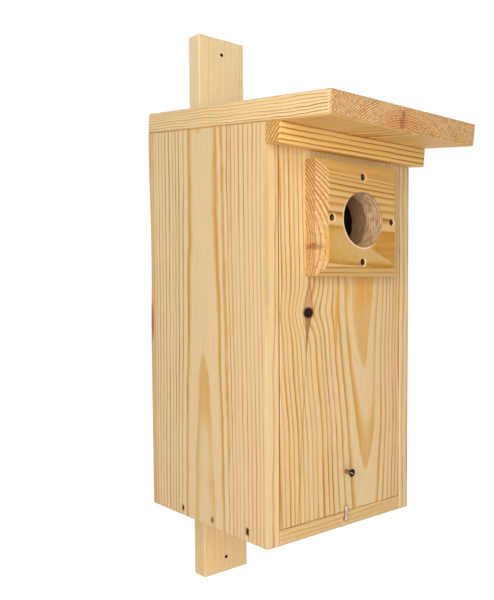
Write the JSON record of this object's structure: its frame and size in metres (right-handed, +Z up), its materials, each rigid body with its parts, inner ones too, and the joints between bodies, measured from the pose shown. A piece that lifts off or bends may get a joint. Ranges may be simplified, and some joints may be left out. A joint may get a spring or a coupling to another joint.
{
  "type": "nest box",
  "caption": "Tall pine nest box with a sloping roof, round entrance in a bevelled guard block, turn hook and long mounting batten.",
  "frame": {"origin": "centre of the mounting batten's back face, which lies on the tree or wall", "axes": "+Z up along the batten, the entrance looks along -Y, +Y into the tree or wall, +X to the right as seen from the front"},
  "size_m": [0.18, 0.2886, 0.584],
  "materials": {
    "pine": "planed, unpainted pine with strong grain",
    "pale_pine": "planed, unpainted pine, pale",
    "zinc": "bright zinc plated",
    "steel": "plain steel screws and nails"
  },
  "bodies": {
    "box": {"left_wall": "pine", "right_wall": "pine", "back_wall": "pale_pine", "floor": "pale_pine", "roof": "pine", "cleat": "pine", "front_panel": "pine", "entrance_block": "pine", "mounting_batten": "pale_pine", "pull_screw": "steel", "block_screw_top": "steel", "block_screw_right": "steel", "block_screw_bottom": "steel", "block_screw_left": "steel", "batten_screw_upper_left": "steel", "batten_screw_upper_right": "steel", "batten_screw_lower_left": "steel", "batten_screw_lower_right": "steel", "left_floor_nail_front": "steel", "left_floor_nail_middle": "steel", "left_floor_nail_back": "steel", "right_floor_nail_front": "steel", "right_floor_nail_middle": "steel", "right_floor_nail_back": "steel", "back_floor_nail_left": "steel", "back_floor_nail_right": "steel", "left_roof_nail_front": "steel", "left_roof_nail_middle": "steel", "left_roof_nail_back": "steel", "right_roof_nail_front": "steel", "right_roof_nail_middle": "steel", "right_roof_nail_back": "steel", "back_roof_nail_left": "steel", "back_roof_nail_right": "steel", "cleat_nail_left": "steel", "cleat_nail_right": "steel"},
    "turn_hook": {"turn_hook": "zinc"}
  },
  "joints": [
    {"name": "hook_turn", "type": "hinge", "parent": "box", "child": "turn_hook", "pos_m": [0, -0.21, -0.188], "axis": [0, 1, 0], "range_deg": [-90, 90]}
  ]
}
